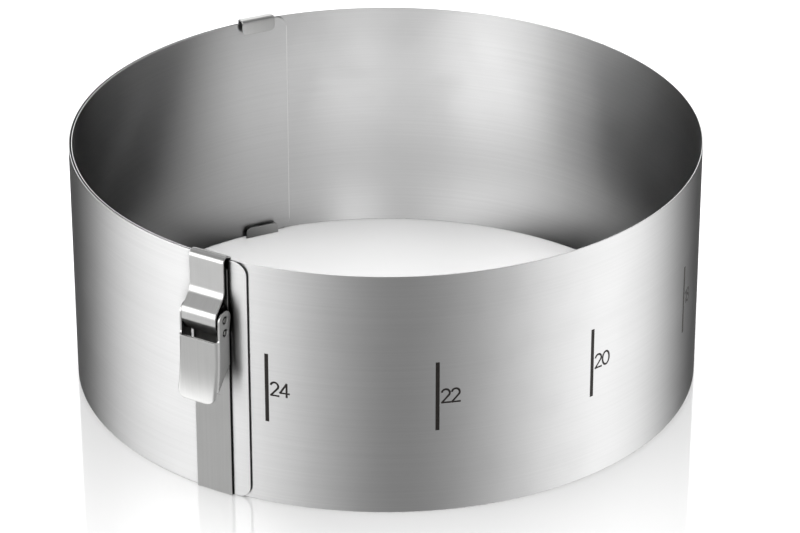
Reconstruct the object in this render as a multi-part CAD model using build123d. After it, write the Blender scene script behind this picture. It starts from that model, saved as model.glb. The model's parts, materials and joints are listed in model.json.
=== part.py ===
from build123d import *
import os
from math import acos, atan2, cos, degrees, hypot, pi, sin, sqrt

# Adjustable cake ring: a steel strip wound into a ring that overlaps itself, with a lever clamp.
# Lengths are in millimetres and angles in degrees.
# The clamp faces -Y. Clamp sizes are given as (out, up): out from the strip's outer face at the
# clamp, and up from the strip's lower edge.
# Seen from above, the strip runs clockwise from its outer end at the clamp.

# The strip
STRIP_LENGTH = 1046.0
STRIP_HEIGHT = 97.0
STRIP_THICKNESS = 0.4
STRIP_CORNER = 5.0
RING_DIAMETER = 241.8
LAYER_PITCH = 0.95

# The strip bends as a chain of rigid arcs. An arc's length changes the ring's diameter by one step.
SCALE_STEP = 10.0
KNUCKLE_CLEARANCE = 0.03

# Clearances
SEAT_GAP = 0.02
PIN_CLEARANCE = 0.05
FOLD_CLEARANCE = 0.1

# The clamp rail, folded under both layers
RAIL_WIDTH = 15.2
RAIL_THICKNESS = 0.8
RAIL_TO_END = 14.8
RAIL_TOP_MARGIN = 3.0
RAIL_LIP_GAP = 1.2
RAIL_LIP_RISE = 2.5
FOLD_INSIDE_RADIUS = 0.1

# The two pins: the pivot pin's place below the rim and off the rail, and the strap pin's below it
PIN_RADIUS = 1.0
PIN_END_ROUND = 0.3
PIN_PROUD = 0.1
PIVOT_STANDOFF = 3.48
PIVOT_DROP = 22.0
PIN_SPACING = 5.1

# The pivot bracket, around the pivot pin and between the lever's flanges
BRACKET_THICKNESS = 0.8
BRACKET_SIDE_GAP = 1.65
BRACKET_BELOW = 2.6
BRACKET_ABOVE = 4.4
BRACKET_EAR_RADIUS = 2.2

# The strap, between the lever's flanges: its hook from the rim, and its belly from the pivot pin
STRAP_THICKNESS = 0.7
STRAP_SIDE_GAP = 0.55
STRAP_BACK_GAP = 0.48
KNEE_ABOVE = 8.6
BELLY_ABOVE = 2.6
BELLY_BELOW = 1.4
BELLY_REACH = 4.4
STRAP_BEND = 1.5
HOOK_LIP_GAP = 0.6
HOOK_LIP_REACH = 1.1
HOOK_RIDGE_RISE = 1.75
HOOK_RIDGE_OUT = 0.55
HOOK_SHOULDER_RISE = 0.3
HOOK_HEEL_RISE = 0.28
HOOK_BEND = 0.8
EYE_SLIT = 0.5

# The lever: heights below the pivot pin, and depths before and behind it
LEVER_WIDTH = 17.3
LEVER_THICKNESS = 0.8
LEVER_EDGE_RADIUS = 1.7
LEVER_REACH = 5.1
LEVER_TOP_DROP = 7.8
LEVER_STRAIGHT_DROP = 12.0
LEVER_LENGTH = 32.0
LEVER_FLARE_RADIUS = 80.0
LEVER_TIP_CORNER = 4.5
LEVER_EAR_RADIUS = 3.7
LEVER_NOTCH_RADIUS = 1.2
FLANGE_BEHIND = 2.6
FLANGE_SHOULDER_DROP = 5.5
FLANGE_TAPER_DROP = 19.0
FLANGE_END_DROP = 27.4
RIVET_SINK_FLARE = 0.5
RIVET_SINK_DEPTH = 0.45

# The guide clips on the outer layer
CLIP_WIDTH = 14.4
CLIP_THICKNESS = 0.7
CLIP_TO_END = 274.0
CLIP_LEG = 7.0
CLIP_TOP_CLEARANCE = 1.0
CLIP_LIP_GAP = 1.7
UPPER_LIP_REACH = 4.4
LOWER_LIP_RISE = 4.4
CLIP_BEND = 1.0
CLIP_CORNER = 2.0

# Worked-out places
ARC_LENGTH = pi * SCALE_STEP
ARC_COUNT = int(STRIP_LENGTH // ARC_LENGTH)
STRIP_LIFT = max(RAIL_THICKNESS, CLIP_THICKNESS) + FOLD_CLEARANCE
LAYERS_DEPTH = LAYER_PITCH + STRIP_THICKNESS
MEAN_CURVATURE = 2 / RING_DIAMETER
WINDING_RATE = LAYER_PITCH * MEAN_CURVATURE**3 / (2 * pi)
RAIL_FACE = SEAT_GAP + RAIL_THICKNESS
PIVOT_OUT = RAIL_FACE + PIVOT_STANDOFF
PIVOT_UP = STRIP_HEIGHT - PIVOT_DROP
STRAP_PIN_UP = PIVOT_UP - PIN_SPACING
HOLE_RADIUS = PIN_RADIUS + PIN_CLEARANCE
LEVER_FACE = PIVOT_OUT + LEVER_REACH
LEVER_TOP = PIVOT_UP - LEVER_TOP_DROP
LEVER_TIP = PIVOT_UP - LEVER_LENGTH
LEVER_INSIDE = LEVER_WIDTH - 2 * LEVER_THICKNESS


def arc_span(index):
    """Distances along the strip, from its outer end, where one arc starts and ends."""
    end = STRIP_LENGTH if index == ARC_COUNT - 1 else (index + 1) * ARC_LENGTH
    return index * ARC_LENGTH, end


def arc_curvature(index):
    """Curvature of one arc: the strip winds inwards, so it grows along the strip."""
    start, end = arc_span(index)
    return MEAN_CURVATURE + WINDING_RATE * ((start + end) / 2 - STRIP_LENGTH / 2)


RAIL_RADIUS = 1 / arc_curvature(0)
OUTER_FACE = RAIL_RADIUS + STRIP_THICKNESS / 2


def along(point, heading, curvature, distance):
    """Place and heading after a distance on a clockwise arc, from a place and a heading in radians."""
    centre = (point[0] + sin(heading) / curvature, point[1] - cos(heading) / curvature)
    turned = heading - curvature * distance
    return (centre[0] - sin(turned) / curvature, centre[1] + cos(turned) / curvature), turned


def strip_places():
    """Place and heading of the start of each arc, with the clamp's middle on the -Y side."""
    places = [along((0, -RAIL_RADIUS), pi, arc_curvature(0), -RAIL_TO_END)]
    for index in range(ARC_COUNT - 1):
        places.append(along(*places[-1], arc_curvature(index), ARC_LENGTH))
    return places


def beside(point, heading, offset):
    """The point at an offset to the outer side of the strip."""
    return point[0] - offset * sin(heading), point[1] + offset * cos(heading)


def nearest_edges(piece, points):
    """The edge of a piece that lies nearest to each point."""
    return [piece.edges().sort_by_distance(point)[0] for point in points]


def strip_arc(index, place, heading):
    """One arc of the strip, with a round nose at its start and a round socket at its end."""
    start, end = arc_span(index)
    length = end - start
    curvature = arc_curvature(index)
    radius = 1 / curvature
    half = STRIP_THICKNESS / 2
    socket = half + KNUCKLE_CLEARANCE
    first = index == 0
    last = index == ARC_COUNT - 1

    def setback(face_radius):
        """Distance along the strip from the socket's wall, at one face, to the knuckle's centre."""
        if last:
            return 0
        return radius * acos((face_radius**2 + radius**2 - socket**2) / (2 * face_radius * radius))

    def face_point(distance, offset):
        return beside(*along(place, heading, curvature, distance), offset)

    outer_end = length - setback(radius + half)
    inner_end = length - setback(radius - half)
    outer = ThreePointArc(face_point(0, half), face_point(outer_end / 2, half), face_point(outer_end, half))
    inner = ThreePointArc(face_point(0, -half), face_point(inner_end / 2, -half), face_point(inner_end, -half))
    if first:
        nose = Line(inner @ 0, outer @ 0)
    else:
        nose = ThreePointArc(inner @ 0, face_point(-half, 0), outer @ 0)
    if last:
        tail = Line(inner @ 1, outer @ 1)
    else:
        tail = ThreePointArc(inner @ 1, face_point(length - socket, 0), outer @ 1)
    arc = extrude(make_face([outer, inner, nose, tail]), STRIP_HEIGHT)
    if first or last:
        corner = face_point(0 if first else length, 0)
        corners = [(*corner, height) for height in (0, STRIP_HEIGHT)]
        arc = fillet(nearest_edges(arc, corners), STRIP_CORNER)
    return Pos(0, 0, STRIP_LIFT) * arc


def bent_outline(points, bends, thickness):
    """Face of a bent sheet: straight runs through the points, bent round at each inner point."""
    runs = [(b[0] - a[0], b[1] - a[1]) for a, b in zip(points, points[1:])]
    angles = [atan2(run[1], run[0]) for run in runs]

    def side(offset):
        shifted = []
        radii = []
        for number, point in enumerate(points):
            before = angles[max(number - 1, 0)]
            after = angles[min(number, len(angles) - 1)]
            turn = (after - before + pi) % (2 * pi) - pi
            middle = before + turn / 2
            reach = offset / cos(turn / 2)
            shifted.append((point[0] - reach * sin(middle), point[1] + reach * cos(middle)))
            if 0 < number < len(points) - 1:
                inwards = offset if turn > 0 else -offset
                radii.append(bends[number - 1] - inwards)
        return FilletPolyline(*shifted, radius=radii)

    left = side(thickness / 2)
    right = side(-thickness / 2)
    return make_face([left, right, Line(left @ 0, right @ 0), Line(left @ 1, right @ 1)])


# The clamp is drawn with out as the sketch's x and up as its y, and extruded along the ring's X.
SIDE_PLANE = Plane(origin=(0, -OUTER_FACE, STRIP_LIFT), x_dir=(0, -1, 0), z_dir=(-1, 0, 0))


def side_extrude(face, width):
    """A side view's face made as wide as a sheet, evenly about the clamp's middle."""
    return SIDE_PLANE * extrude(face, width / 2, both=True)


def cross_pin(up, radius, length):
    """A round bar across the clamp, at the pins' distance from the rail."""
    return side_extrude(Pos(PIVOT_OUT, up) * Circle(radius), length)


def clamp_rail():
    """The upright strip behind the clamp, folded under both layers with a short lip inside."""
    middle = SEAT_GAP + RAIL_THICKNESS / 2
    fold = RAIL_THICKNESS / 2 - STRIP_LIFT
    lip = -LAYERS_DEPTH - RAIL_LIP_GAP - RAIL_THICKNESS / 2
    bend = FOLD_INSIDE_RADIUS + RAIL_THICKNESS / 2
    points = [(middle, STRIP_HEIGHT - RAIL_TOP_MARGIN), (middle, fold), (lip, fold), (lip, RAIL_LIP_RISE)]
    return side_extrude(bent_outline(points, [bend, bend], RAIL_THICKNESS), RAIL_WIDTH)


def pivot_bracket():
    """A plate on the rail with two ears that carry the pivot pin."""
    width = LEVER_INSIDE - 2 * BRACKET_SIDE_GAP
    low = PIVOT_UP - BRACKET_BELOW
    high = PIVOT_UP + BRACKET_ABOVE
    middle = (RAIL_FACE + BRACKET_THICKNESS / 2, (low + high) / 2)
    plate = Pos(*middle) * Rectangle(BRACKET_THICKNESS, high - low)
    round_end = Pos(PIVOT_OUT, PIVOT_UP) * Circle(BRACKET_EAR_RADIUS)
    ear = make_hull(plate.edges() + round_end.edges())
    ears = side_extrude(ear, width) - side_extrude(ear, width - 2 * BRACKET_THICKNESS)
    bracket = side_extrude(plate, width) + ears
    return bracket - cross_pin(PIVOT_UP, PIN_RADIUS + SEAT_GAP, LEVER_WIDTH)


def rivet(up):
    """A pin across the clamp with softly rounded ends."""
    pin = cross_pin(up, PIN_RADIUS, LEVER_WIDTH + 2 * PIN_PROUD)
    return fillet(pin.edges().filter_by(GeomType.CIRCLE), PIN_END_ROUND)


def strap():
    """The bent strap: a hook over the rim, a flat, a belly in front of the pins, and a rolled eye."""
    half = STRAP_THICKNESS / 2
    face = RAIL_FACE + BRACKET_THICKNESS + STRAP_BACK_GAP + half
    belly = PIVOT_OUT + BELLY_REACH - half
    belly_bottom = PIVOT_UP - BELLY_BELOW
    lip = -LAYERS_DEPTH - HOOK_LIP_GAP - half
    wrap = HOLE_RADIUS + half
    # The last run leaves the belly and touches the eye's middle line on its outer side.
    run = (PIVOT_OUT - belly, STRAP_PIN_UP - belly_bottom)
    touch = sqrt(hypot(*run) ** 2 - wrap**2)
    heading = atan2(run[1], run[0]) + atan2(wrap, touch)
    points = [
        (lip, STRIP_HEIGHT - HOOK_LIP_REACH),
        (lip, STRIP_HEIGHT + HOOK_HEEL_RISE),
        (HOOK_RIDGE_OUT, STRIP_HEIGHT + HOOK_RIDGE_RISE),
        (face, STRIP_HEIGHT + HOOK_SHOULDER_RISE),
        (face, PIVOT_UP + KNEE_ABOVE),
        (belly, PIVOT_UP + BELLY_ABOVE),
        (belly, belly_bottom),
        (belly + touch * cos(heading), belly_bottom + touch * sin(heading)),
    ]
    bends = [HOOK_BEND] * 3 + [STRAP_BEND] * 3
    sheet = bent_outline(points, bends, STRAP_THICKNESS)
    # The eye is rolled once round the pin, and stops short of the run that it leaves.
    outside = HOLE_RADIUS + STRAP_THICKNESS
    slit = Rectangle(outside, EYE_SLIT, align=(Align.MAX, Align.MAX))
    eye = Circle(outside) - Circle(HOLE_RADIUS) - Rot(0, 0, degrees(heading)) * Pos(0, HOLE_RADIUS) * slit
    return side_extrude(sheet + Pos(PIVOT_OUT, STRAP_PIN_UP) * eye, LEVER_INSIDE - 2 * STRAP_SIDE_GAP)


def lever():
    """The U-shaped handle: a web that flares out at its tip, and two flanges with round ears."""
    handle = lever_side() & lever_front() & lever_channel()
    bottom = (Align.CENTER, Align.CENTER, Align.MIN)
    sink = Cone(HOLE_RADIUS + RIVET_SINK_FLARE, HOLE_RADIUS, RIVET_SINK_DEPTH, align=bottom)
    for up in (PIVOT_UP, STRAP_PIN_UP):
        handle = handle - cross_pin(up, HOLE_RADIUS, LEVER_WIDTH)
        for flip in (0, 180):
            side = SIDE_PLANE * Pos(PIVOT_OUT, up) * Rot(0, flip, 0)
            handle = handle - side * Pos(0, 0, -LEVER_WIDTH / 2) * sink
    return handle


def flare(out, radius):
    """One face of the web, from above the ears down to the tip: straight, then bent outwards."""
    bend_top = PIVOT_UP - LEVER_STRAIGHT_DROP
    swing = atan2(bend_top - LEVER_TIP, sqrt(LEVER_FLARE_RADIUS**2 - (bend_top - LEVER_TIP) ** 2))

    def bend_point(angle):
        return out + radius * (1 - cos(angle)), bend_top - radius * sin(angle)

    straight = Line((out, PIVOT_UP + LEVER_EAR_RADIUS), (out, bend_top))
    return straight, ThreePointArc((out, bend_top), bend_point(swing / 2), bend_point(swing))


def lever_side():
    """The lever's outline from the side, as wide as the lever and past the front of its web."""
    front = (flare(LEVER_FACE, LEVER_FLARE_RADIUS)[1] @ 1).X
    web_back = LEVER_FACE - LEVER_THICKNESS
    web_bend = flare(web_back, LEVER_FLARE_RADIUS + LEVER_THICKNESS)[1]
    web_edges = Polyline(web_bend @ 1, (front, LEVER_TIP), (front, LEVER_TOP), (web_back, LEVER_TOP), web_bend @ 0)
    web = make_face([web_bend, web_edges])
    ear_front = PIVOT_OUT + LEVER_EAR_RADIUS
    ear_back = PIVOT_OUT - LEVER_EAR_RADIUS
    flange_back = PIVOT_OUT - FLANGE_BEHIND
    ear = ThreePointArc((ear_front, PIVOT_UP), (PIVOT_OUT, PIVOT_UP + LEVER_EAR_RADIUS), (ear_back, PIVOT_UP))
    body = Polyline(
        ear @ 1,
        (flange_back, PIVOT_UP - FLANGE_SHOULDER_DROP),
        (flange_back, PIVOT_UP - FLANGE_TAPER_DROP),
        (LEVER_FACE, PIVOT_UP - FLANGE_END_DROP),
        (front, PIVOT_UP - FLANGE_END_DROP),
        (front, LEVER_TOP),
        (ear_front, LEVER_TOP),
        ear @ 0,
    )
    flanges = make_face([ear, body])
    notch = flanges.vertices().sort_by_distance((ear_front, LEVER_TOP))[0]
    return side_extrude(fillet(notch, LEVER_NOTCH_RADIUS) + web, LEVER_WIDTH)


def lever_front():
    """The lever's outline from the front, with the tip's corners rounded."""
    top = PIVOT_UP + LEVER_EAR_RADIUS
    plate = Pos(0, LEVER_TIP) * Rectangle(LEVER_WIDTH, top - LEVER_TIP, align=(Align.CENTER, Align.MIN))
    outline = fillet(plate.vertices().sort_by(Axis.Y)[:2], LEVER_TIP_CORNER)
    front = Plane(origin=(0, -OUTER_FACE - LEVER_FACE, STRIP_LIFT), x_dir=(1, 0, 0), z_dir=(0, -1, 0))
    return front * extrude(outline, 2 * LEVER_FACE, both=True)


def lever_channel():
    """A rounded U section carried along the web's outer face."""
    path = SIDE_PLANE * Wire(flare(LEVER_FACE, LEVER_FLARE_RADIUS))
    below = (Align.CENTER, Align.MAX)
    outer = Rectangle(LEVER_WIDTH, LEVER_FACE, align=below)
    inner = Pos(0, -LEVER_THICKNESS) * Rectangle(LEVER_INSIDE, LEVER_FACE, align=below)
    outer = fillet(outer.vertices().sort_by(Axis.Y)[-2:], LEVER_EDGE_RADIUS)
    inner = fillet(inner.vertices().sort_by(Axis.Y)[-2:], LEVER_EDGE_RADIUS - LEVER_THICKNESS)
    section = Plane(origin=path @ 0, x_dir=(1, 0, 0), z_dir=(0, 0, -1)) * (outer - inner)
    return sweep(section, path)


def guide_clip(upper):
    """A clip welded to the outer layer's outside and folded over an edge, with a lip inside."""
    leg = SEAT_GAP + CLIP_THICKNESS / 2
    lip = -LAYERS_DEPTH - CLIP_LIP_GAP - CLIP_THICKNESS / 2
    if upper:
        bend = CLIP_BEND
        fold = STRIP_HEIGHT + CLIP_TOP_CLEARANCE + CLIP_THICKNESS / 2
        leg_end = STRIP_HEIGHT - CLIP_LEG
        lip_end = STRIP_HEIGHT - UPPER_LIP_REACH
    else:
        bend = FOLD_INSIDE_RADIUS + CLIP_THICKNESS / 2
        fold = CLIP_THICKNESS / 2 - STRIP_LIFT
        leg_end = CLIP_LEG
        lip_end = LOWER_LIP_RISE
    points = [(leg, leg_end), (leg, fold), (lip, fold), (lip, lip_end)]
    clip = side_extrude(bent_outline(points, [bend, bend], CLIP_THICKNESS), CLIP_WIDTH)
    sides = (-CLIP_WIDTH / 2, CLIP_WIDTH / 2)
    corners = [SIDE_PLANE.from_local_coords((*end, side)) for end in (points[0], points[-1]) for side in sides]
    clip = fillet(nearest_edges(clip, corners), CLIP_CORNER)
    index = int(CLIP_TO_END // ARC_LENGTH)
    place, heading = strip_places()[index]
    here, turned = along(place, heading, arc_curvature(index), CLIP_TO_END - arc_span(index)[0])
    return Pos(*here, 0) * Rot(0, 0, degrees(turned - pi)) * Pos(0, RAIL_RADIUS, 0) * clip


def arc_name(index):
    return f"band_arc_{index + 1:02d}"


def ring_pieces():
    """Every piece by name, with the centre of the ring's first arc at the origin."""
    pieces = {}
    for index, (place, heading) in enumerate(strip_places()):
        pieces[arc_name(index)] = strip_arc(index, place, heading)
    pieces["clamp_rail"] = clamp_rail()
    pieces["pivot_bracket"] = pivot_bracket()
    pieces["pivot_pin"] = rivet(PIVOT_UP)
    pieces["strap_pin"] = rivet(STRAP_PIN_UP)
    pieces["strap"] = strap()
    pieces["lever"] = lever()
    pieces["upper_guide_clip"] = guide_clip(True)
    pieces["lower_guide_clip"] = guide_clip(False)
    return pieces


def whole_box(pieces):
    """The box round all the pieces."""
    return Compound(children=[Compound(piece.wrapped) for piece in pieces.values()]).bounding_box()


def main():
    """Write each piece, with the middle of the whole ring's footprint at the origin."""
    pieces = ring_pieces()
    box = whole_box(pieces)
    middle = box.center()
    os.makedirs("parts", exist_ok=True)
    for name, piece in pieces.items():
        export_step(Pos(-middle.X, -middle.Y, 0) * piece, f"parts/{name}.step")
    print(len(pieces), "pieces, box", box.size, "ring axis at", -middle.X, -middle.Y)


main()
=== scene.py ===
# %% [markdown]
# # An adjustable cake ring
# One long strip of brushed stainless steel is wound into a hoop and overlaps itself by more than a
# quarter of its length. A small lever clamp near its outer end holds both layers, and a printed
# scale shows the diameter in centimetres. The solids are already packed, so this lesson only
# dresses them: it loads them as a fixed frame and builds finer meshes, materials and light.

import json
from math import atan2, ceil, cos, hypot, pi, radians, sin, sqrt, tan

import bmesh
import bpy
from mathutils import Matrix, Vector

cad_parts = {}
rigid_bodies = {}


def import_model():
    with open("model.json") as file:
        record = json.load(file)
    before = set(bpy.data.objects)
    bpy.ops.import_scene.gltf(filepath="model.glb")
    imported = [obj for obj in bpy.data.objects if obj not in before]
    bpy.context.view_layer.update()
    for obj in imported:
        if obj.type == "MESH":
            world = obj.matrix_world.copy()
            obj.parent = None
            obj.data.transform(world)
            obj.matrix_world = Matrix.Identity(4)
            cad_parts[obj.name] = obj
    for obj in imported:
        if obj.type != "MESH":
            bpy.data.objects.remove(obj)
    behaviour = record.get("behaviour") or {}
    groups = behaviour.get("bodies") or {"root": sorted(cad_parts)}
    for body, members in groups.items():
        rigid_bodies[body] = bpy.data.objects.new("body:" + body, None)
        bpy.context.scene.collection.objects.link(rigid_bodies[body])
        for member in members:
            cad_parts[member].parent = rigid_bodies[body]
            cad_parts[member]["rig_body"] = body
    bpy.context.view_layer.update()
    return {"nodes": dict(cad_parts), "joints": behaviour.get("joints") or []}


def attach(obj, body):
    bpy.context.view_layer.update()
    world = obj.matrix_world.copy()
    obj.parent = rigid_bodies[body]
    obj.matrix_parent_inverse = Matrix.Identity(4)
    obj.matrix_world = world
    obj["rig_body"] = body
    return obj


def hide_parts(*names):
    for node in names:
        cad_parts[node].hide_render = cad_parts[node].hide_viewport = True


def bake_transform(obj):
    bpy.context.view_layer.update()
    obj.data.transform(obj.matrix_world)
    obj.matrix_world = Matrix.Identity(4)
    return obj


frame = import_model()
MM = 0.001

# %% [markdown]
# ## The strip's path
# Seen from above, the strip is a shallow spiral: it starts at the clamp as the outer layer and
# ends as the inner layer, one layer pitch further in. It could be drawn as a curve object, but a
# formula gives exact places and directions. The solids are a chain of short arcs with upright
# knuckles between them, so the same arcs are walked here, starting from the first knuckle.

# %% Walk along the strip
STRIP_LENGTH = 1046 * MM
RING_DIAMETER = 241.8 * MM
LAYER_PITCH = 0.95 * MM
ARC_LENGTH = pi * 10 * MM
CLAMP_FROM_END = 14.8 * MM

arc_count = int(STRIP_LENGTH // ARC_LENGTH)
mean_bend = 2 / RING_DIAMETER
winding = LAYER_PITCH * mean_bend**3 / (2 * pi)
band_joints = [joint for joint in frame["joints"] if joint["child"].startswith("band_")]
knuckles = [Vector(joint["pos_m"]) for joint in band_joints]
band_bodies = ["clamp_end"] + [joint["child"] for joint in band_joints]


def arc_bend(index):
    """Curvature of one arc, which grows along the strip as it winds inwards."""
    start = index * ARC_LENGTH
    end = STRIP_LENGTH if index == arc_count - 1 else start + ARC_LENGTH
    return mean_bend + winding * ((start + end) / 2 - STRIP_LENGTH / 2)


def walk(x, y, heading, bend, distance):
    """Place and heading after a distance on a clockwise arc."""
    turned = heading - bend * distance
    return x + (sin(heading) - sin(turned)) / bend, y - (cos(heading) - cos(turned)) / bend, turned


first_knuckle = (*knuckles[0].xy, pi - arc_bend(0) * (ARC_LENGTH - CLAMP_FROM_END))
arc_starts = [walk(*first_knuckle, arc_bend(0), -ARC_LENGTH), first_knuckle]
for index in range(1, arc_count - 1):
    arc_starts.append(walk(*arc_starts[-1], arc_bend(index), ARC_LENGTH))


def strip_place(run):
    """Place and heading at a distance along the strip from its outer end."""
    index = min(max(int(run // ARC_LENGTH), 0), arc_count - 1)
    return walk(*arc_starts[index], arc_bend(index), run - index * ARC_LENGTH)


misses = [(Vector(start[:2]) - knuckle.xy).length for start, knuckle in zip(arc_starts[1:], knuckles)]
print("arcs", arc_count, "largest miss at a knuckle, mm", max(misses) / MM)

# %% [markdown]
# ## Thin plates with soft edges
# Nearly every piece here is sheet metal: flat across, and bent along its length. A sheet could be
# a flat grid with Solidify and Bevel modifiers. This helper instead lays columns of points along
# the sheet and gives each point its true normal, so reflections stay clean across the many short
# faces and from one piece to the next. A small quarter-round runs along all real edges.

# %% A helper for plates
EDGE_STEPS = 3
CHART_SCALE = 10  # chart units per metre, for the grain


def edge_profile(inner, outer, edge):
    """Points over a plate's edge, from outer to inner face: offset, inset, and the normal's parts."""
    quarter = [pi / 2 * step / EDGE_STEPS for step in range(EDGE_STEPS + 1)]
    over = [(outer - edge * (1 - cos(a)), edge * (1 - sin(a)), cos(a), sin(a)) for a in quarter]
    under = [(inner + edge * (1 - cos(a)), edge * (1 - sin(a)), -cos(a), sin(a)) for a in reversed(quarter)]
    return over + under


def add_piece(name, data):
    """An object in the scene, for a mesh, a lamp or a camera."""
    piece = bpy.data.objects.new(name, data)
    bpy.context.scene.collection.objects.link(piece)
    return piece


def plate(name, columns, ends, profile, carry):
    """A plate from columns (run, low, high, lean along, lean across), carried by a bent surface."""
    points, normals, flat, faces, caps = [], [], [], [], {}
    rows = len(profile)
    for run, low, high, along, across in columns:
        for reach, lean in ((high, across), (low, -across)):
            for offset, inset, facing, edging in profile:
                here, forward, sideways, outward = carry(run - inset * along)
                points.append(here + sideways * (reach - inset * lean) + outward * offset)
                normals.append((outward * facing + (forward * along + sideways * lean) * edging).normalized())
                flat.append(((run - inset * along) * CHART_SCALE, (reach - inset * lean) * CHART_SCALE))

    def corner(column, low_side, row):
        return (column * 2 + low_side) * rows + row

    last = len(columns) - 1
    for c in range(last):
        for row in (0, rows - 1):
            faces.append([corner(c, 0, row), corner(c + 1, 0, row), corner(c + 1, 1, row), corner(c, 1, row)])
        for side in (0, 1):
            for row in range(rows - 1):
                faces.append([corner(c, side, row), corner(c + 1, side, row),
                              corner(c + 1, side, row + 1), corner(c, side, row + 1)])
    for c, real_end in zip((0, last), ends):
        if real_end:
            for row in range(rows - 1):
                faces.append([corner(c, 0, row), corner(c, 1, row),
                              corner(c, 1, row + 1), corner(c, 0, row + 1)])
        else:
            inwards = columns[1][0] - columns[0][0] if c == 0 else columns[c - 1][0] - columns[c][0]
            caps[len(faces)] = carry(columns[c][0])[1] * (-1 if inwards > 0 else 1)
            upper_side = [corner(c, 0, row) for row in range(rows)]
            lower_side = [corner(c, 1, row) for row in reversed(range(rows))]
            faces.append(upper_side + lower_side)
    loop_normals = []
    for number, face in enumerate(faces):
        facing = caps.get(number) or sum((normals[v] for v in face), Vector())
        newell = sum((points[a].cross(points[b]) for a, b in zip(face, face[1:] + face[:1])), Vector())
        if newell.dot(facing) < 0:
            face.reverse()
        loop_normals += [caps.get(number) or normals[v] for v in face]
    mesh = bpy.data.meshes.new(name)
    mesh.from_pydata(points, [], faces)
    chart = mesh.uv_layers.new(name="grain")
    for loop in mesh.loops:
        chart.data[loop.index].uv = flat[loop.vertex_index]
    mesh.polygons.foreach_set("use_smooth", [True] * len(faces))
    mesh.normals_split_custom_set(loop_normals)
    return add_piece(name, mesh)


def end_columns(run, direction, half_low, half_high, radius, steps=8):
    """Columns over a plate's end with rounded corners, from the end inwards."""
    columns = []
    for step in range(steps + 1):
        turn = pi / 2 * step / steps
        cut = radius * (1 - sin(turn))
        columns.append((run + direction * radius * (1 - cos(turn)), half_low + cut, half_high - cut,
                        -direction * cos(turn), sin(turn)))
    return columns


def plain_columns(start, end, low, high, pitch):
    """Evenly spread columns between two runs."""
    count = ceil(abs(end - start) / pitch)
    return [(start + (end - start) * step / count, low, high, 0, 1) for step in range(count + 1)]


print("edge points", len(edge_profile(0, 1, 0.1)))

# %% [markdown]
# ## The strip
# The strip is 0.4 mm thick, so it is springy and takes a smooth round shape at every size. The
# solids can only turn at their knuckles. Here each skin reaches from the middle of one arc to the
# middle of the next. The two free ends have rounded corners, and the clamp's end stays on the clamp's
# body.

# %% Strip skins
STRIP_HEIGHT = 97 * MM
STRIP_LIFT = 0.9 * MM
STRIP_THICKNESS = 0.4 * MM
STRIP_CORNER = 5 * MM
STRIP_EDGE = 0.13 * MM
GROUND_AND_HIGHLIGHT_BORDER = 0.4 * MM
COLUMN_PITCH = 0.9 * MM
UP = Vector((0, 0, 1))

half_strip = STRIP_THICKNESS / 2
strip_low = STRIP_LIFT
strip_high = STRIP_LIFT + STRIP_HEIGHT


def strip_carry(run):
    """Place, forward, up and outward directions on the strip's middle surface."""
    x, y, heading = strip_place(run)
    return (Vector((x, y, 0)), Vector((cos(heading), sin(heading), 0)), UP,
            Vector((-sin(heading), cos(heading), 0)))


def middle_of(index):
    """Run at the middle of an arc."""
    end = STRIP_LENGTH if index == arc_count - 1 else (index + 1) * ARC_LENGTH
    return (index * ARC_LENGTH + end) / 2


def arc_node(index):
    return f"band_arc_{index + 1:02d}"


strip_profile = edge_profile(-half_strip, half_strip, STRIP_EDGE)
strip_skins = []
for index in range(arc_count - 1):
    columns = plain_columns(middle_of(index), middle_of(index + 1), strip_low, strip_high, COLUMN_PITCH)
    skin = plate(f"strip_{index + 1:02d}", columns, (False, False), strip_profile, strip_carry)
    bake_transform(skin)
    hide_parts(arc_node(index), arc_node(index + 1))
    strip_skins.append(skin)

outer_tip = end_columns(0, 1, strip_low, strip_high, STRIP_CORNER)
outer_tip += plain_columns(STRIP_CORNER, middle_of(0), strip_low, strip_high, COLUMN_PITCH)[1:]
strip_outer_end = plate("strip_outer_end", outer_tip, (True, False), strip_profile, strip_carry)
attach(strip_outer_end, "clamp_end")
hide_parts(arc_node(0))
inner_tip = end_columns(STRIP_LENGTH, -1, strip_low, strip_high, STRIP_CORNER)
inner_tip += plain_columns(STRIP_LENGTH - STRIP_CORNER, middle_of(arc_count - 1),
                           strip_low, strip_high, COLUMN_PITCH)[1:]
strip_inner_end = plate("strip_inner_end", inner_tip, (True, False), strip_profile, strip_carry)
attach(strip_inner_end, band_bodies[-1])
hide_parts(arc_node(arc_count - 1))
strip_skins += [strip_outer_end, strip_inner_end]
print("strip skins", len(strip_skins), "points", sum(len(s.data.vertices) for s in strip_skins))

# %% [markdown]
# ## The printed scale
# Four dark bars with plain numbers are printed on the strip's outside. When the outer end stands at
# a bar, the ring has that diameter, so a bar lies at pi times its number along the strip. That is
# also where a knuckle lies. A printed layer could be a texture mask. Thin real plates keep the
# edges crisp at any zoom.

# %% Scale bars
BAR_WIDTH = 1.5 * MM
BAR_LENGTH = 28 * MM
INK_HEIGHT = 0.03 * MM
SCALE_CENTIMETRES = (24, 22, 20, 18)
SCALE_HEIGHT = 0.4925  # share of the strip's height
DIAGONAL = sqrt(0.5)

scale_middle = strip_low + SCALE_HEIGHT * STRIP_HEIGHT
ink_profile = edge_profile(half_strip, half_strip + INK_HEIGHT, INK_HEIGHT / 3)
printed = []


def ride_with_skin(piece):
    """Bake a printed piece's place into its mesh."""
    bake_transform(piece)


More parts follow.
